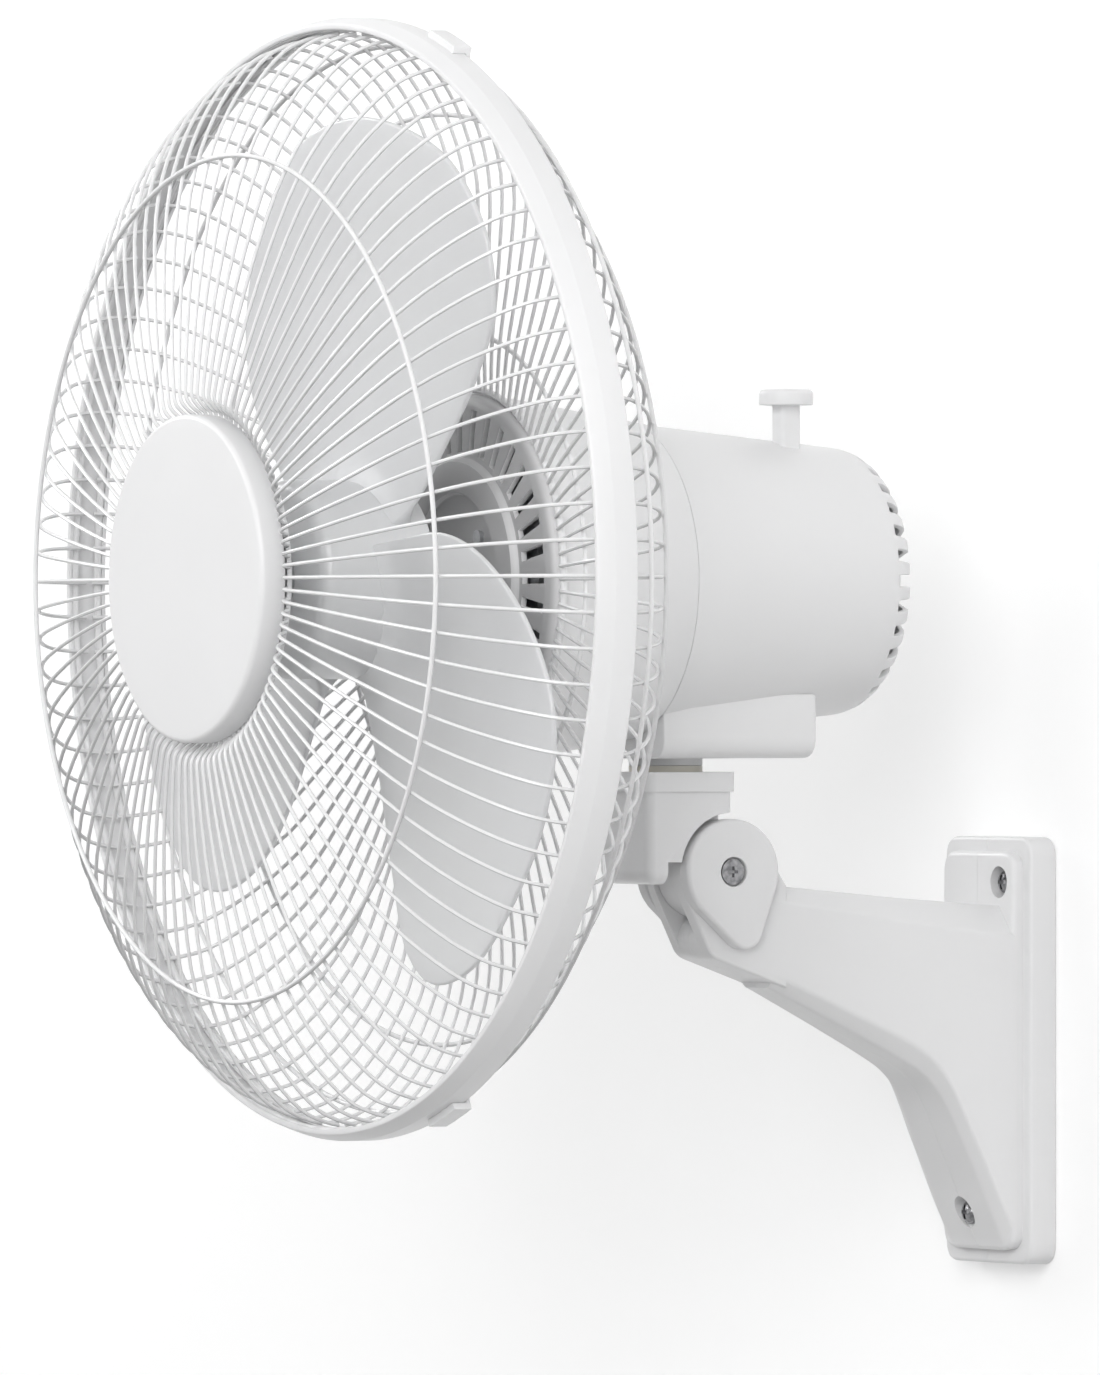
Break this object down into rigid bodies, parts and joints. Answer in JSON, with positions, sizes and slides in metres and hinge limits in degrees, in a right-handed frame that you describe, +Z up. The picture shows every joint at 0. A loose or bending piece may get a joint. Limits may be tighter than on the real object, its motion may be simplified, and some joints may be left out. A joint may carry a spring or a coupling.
{
  "type": "wall mounted oscillating fan",
  "caption": "Oscillating wall fan: caged paddle blades on a motor head that tilts and swings on a moulded arm with a wall plate.",
  "frame": {"origin": "middle of the wall plate's back, on the wall", "axes": "+Y into the wall, +Z up, +X to the right seen from the front; the fan blows towards -Y"},
  "size_m": [0.4499, 0.4174, 0.5045],
  "materials": {
    "white_plastic": "satin moulded plastic",
    "blade_plastic": "smooth moulded plastic",
    "painted_wire": "white powder-coated steel wire",
    "grey_plastic": "moulded plastic",
    "gear_plastic": "natural acetal",
    "zinc_steel": "zinc-plated steel",
    "chrome_steel": "bright plated steel",
    "ground_steel": "ground steel",
    "lamination_steel": "stacked laminations",
    "cast_alloy": "die cast",
    "copper_wire": "enamelled copper",
    "bronze": "sintered bronze"
  },
  "bodies": {
    "bracket": {"bracket_half_right": "white_plastic", "bracket_half_left": "white_plastic", "bracket_screws": "zinc_steel", "wall_screws": "chrome_steel", "tilt_cover_right": "white_plastic", "tilt_cover_left": "white_plastic", "tilt_bolt": "chrome_steel", "tilt_nut": "zinc_steel", "tilt_washers": "zinc_steel"},
    "neck": {"neck_housing": "white_plastic", "oscillation_pivot": "ground_steel", "thrust_washer": "gear_plastic", "pivot_clip": "zinc_steel", "anchor_arm": "zinc_steel", "pivot_screw": "zinc_steel"},
    "head": {"guard_rim": "white_plastic", "rim_clips": "white_plastic", "front_guard_wires": "painted_wire", "front_guard_rings": "painted_wire", "rear_guard_wires": "painted_wire", "rear_guard_rings": "painted_wire", "guard_badge": "white_plastic", "badge_back_plate": "white_plastic", "badge_screws": "zinc_steel", "motor_front_cover": "white_plastic", "cover_screws": "zinc_steel", "front_end_shield": "cast_alloy", "rear_end_shield": "cast_alloy", "motor_bolts": "zinc_steel", "stator_core": "lamination_steel", "stator_windings": "copper_wire", "bearing_bushes": "bronze", "gearbox_case": "cast_alloy", "gearbox_lid": "cast_alloy", "motor_housing": "white_plastic", "housing_screws": "zinc_steel"},
    "rotor": {"worm_shaft": "ground_steel", "rotor_core": "lamination_steel", "fan_blades": "blade_plastic", "blade_nut": "grey_plastic"},
    "worm_wheel": {"worm_wheel": "gear_plastic"},
    "clutch_spindle": {"clutch_spindle": "ground_steel"},
    "crank_gear": {"crank_gear": "gear_plastic"},
    "crank_link": {"crank_link": "zinc_steel"},
    "knob": {"oscillation_knob": "white_plastic"}
  },
  "joints": [
    {"name": "tilt", "type": "hinge", "parent": "bracket", "child": "neck", "pos_m": [0, -0.145, 0.074], "axis": [1, 0, 0], "range_deg": [-15, 25]},
    {"name": "oscillation", "type": "hinge", "parent": "neck", "child": "head", "pos_m": [0, -0.1645, 0.1145], "axis": [0, 0, 1], "range_deg": [-40, 40]},
    {"name": "fan_spin", "type": "hinge", "parent": "head", "child": "rotor", "pos_m": [0, -0.314, 0.192], "axis": [0, 1, 0], "continuous": true},
    {"name": "worm_wheel_spin", "type": "hinge", "parent": "head", "child": "worm_wheel", "pos_m": [0.01474, -0.1165, 0.192], "axis": [0, 0, 1], "continuous": true},
    {"name": "clutch_spindle_turn", "type": "hinge", "parent": "head", "child": "clutch_spindle", "pos_m": [0.01474, -0.1165, 0.192], "axis": [0, 0, 1], "range_deg": [-212, 212]},
    {"name": "crank_gear_turn", "type": "hinge", "parent": "head", "child": "crank_gear", "pos_m": [-0.00326, -0.1165, 0.16], "axis": [0, 0, 1], "range_deg": [-71, 71]},
    {"name": "crank_link_swing", "type": "hinge", "parent": "neck", "child": "crank_link", "pos_m": [-0.014, -0.1645, 0.15], "axis": [0, 0, 1], "range_deg": [-41, 41]},
    {"name": "knob_pull", "type": "slide", "parent": "head", "child": "knob", "axis": [0, 0, 1], "range_m": [-0.008, 0]}
  ],
  "couplings": [
    {"joint": "worm_wheel_spin", "follows": "fan_spin", "ratio": 0.035714},
    {"joint": "crank_gear_turn", "follows": "oscillation", "ratio": -1.75},
    {"joint": "clutch_spindle_turn", "follows": "oscillation", "ratio": 5.25},
    {"joint": "crank_link_swing", "follows": "oscillation", "ratio": 1}
  ]
}
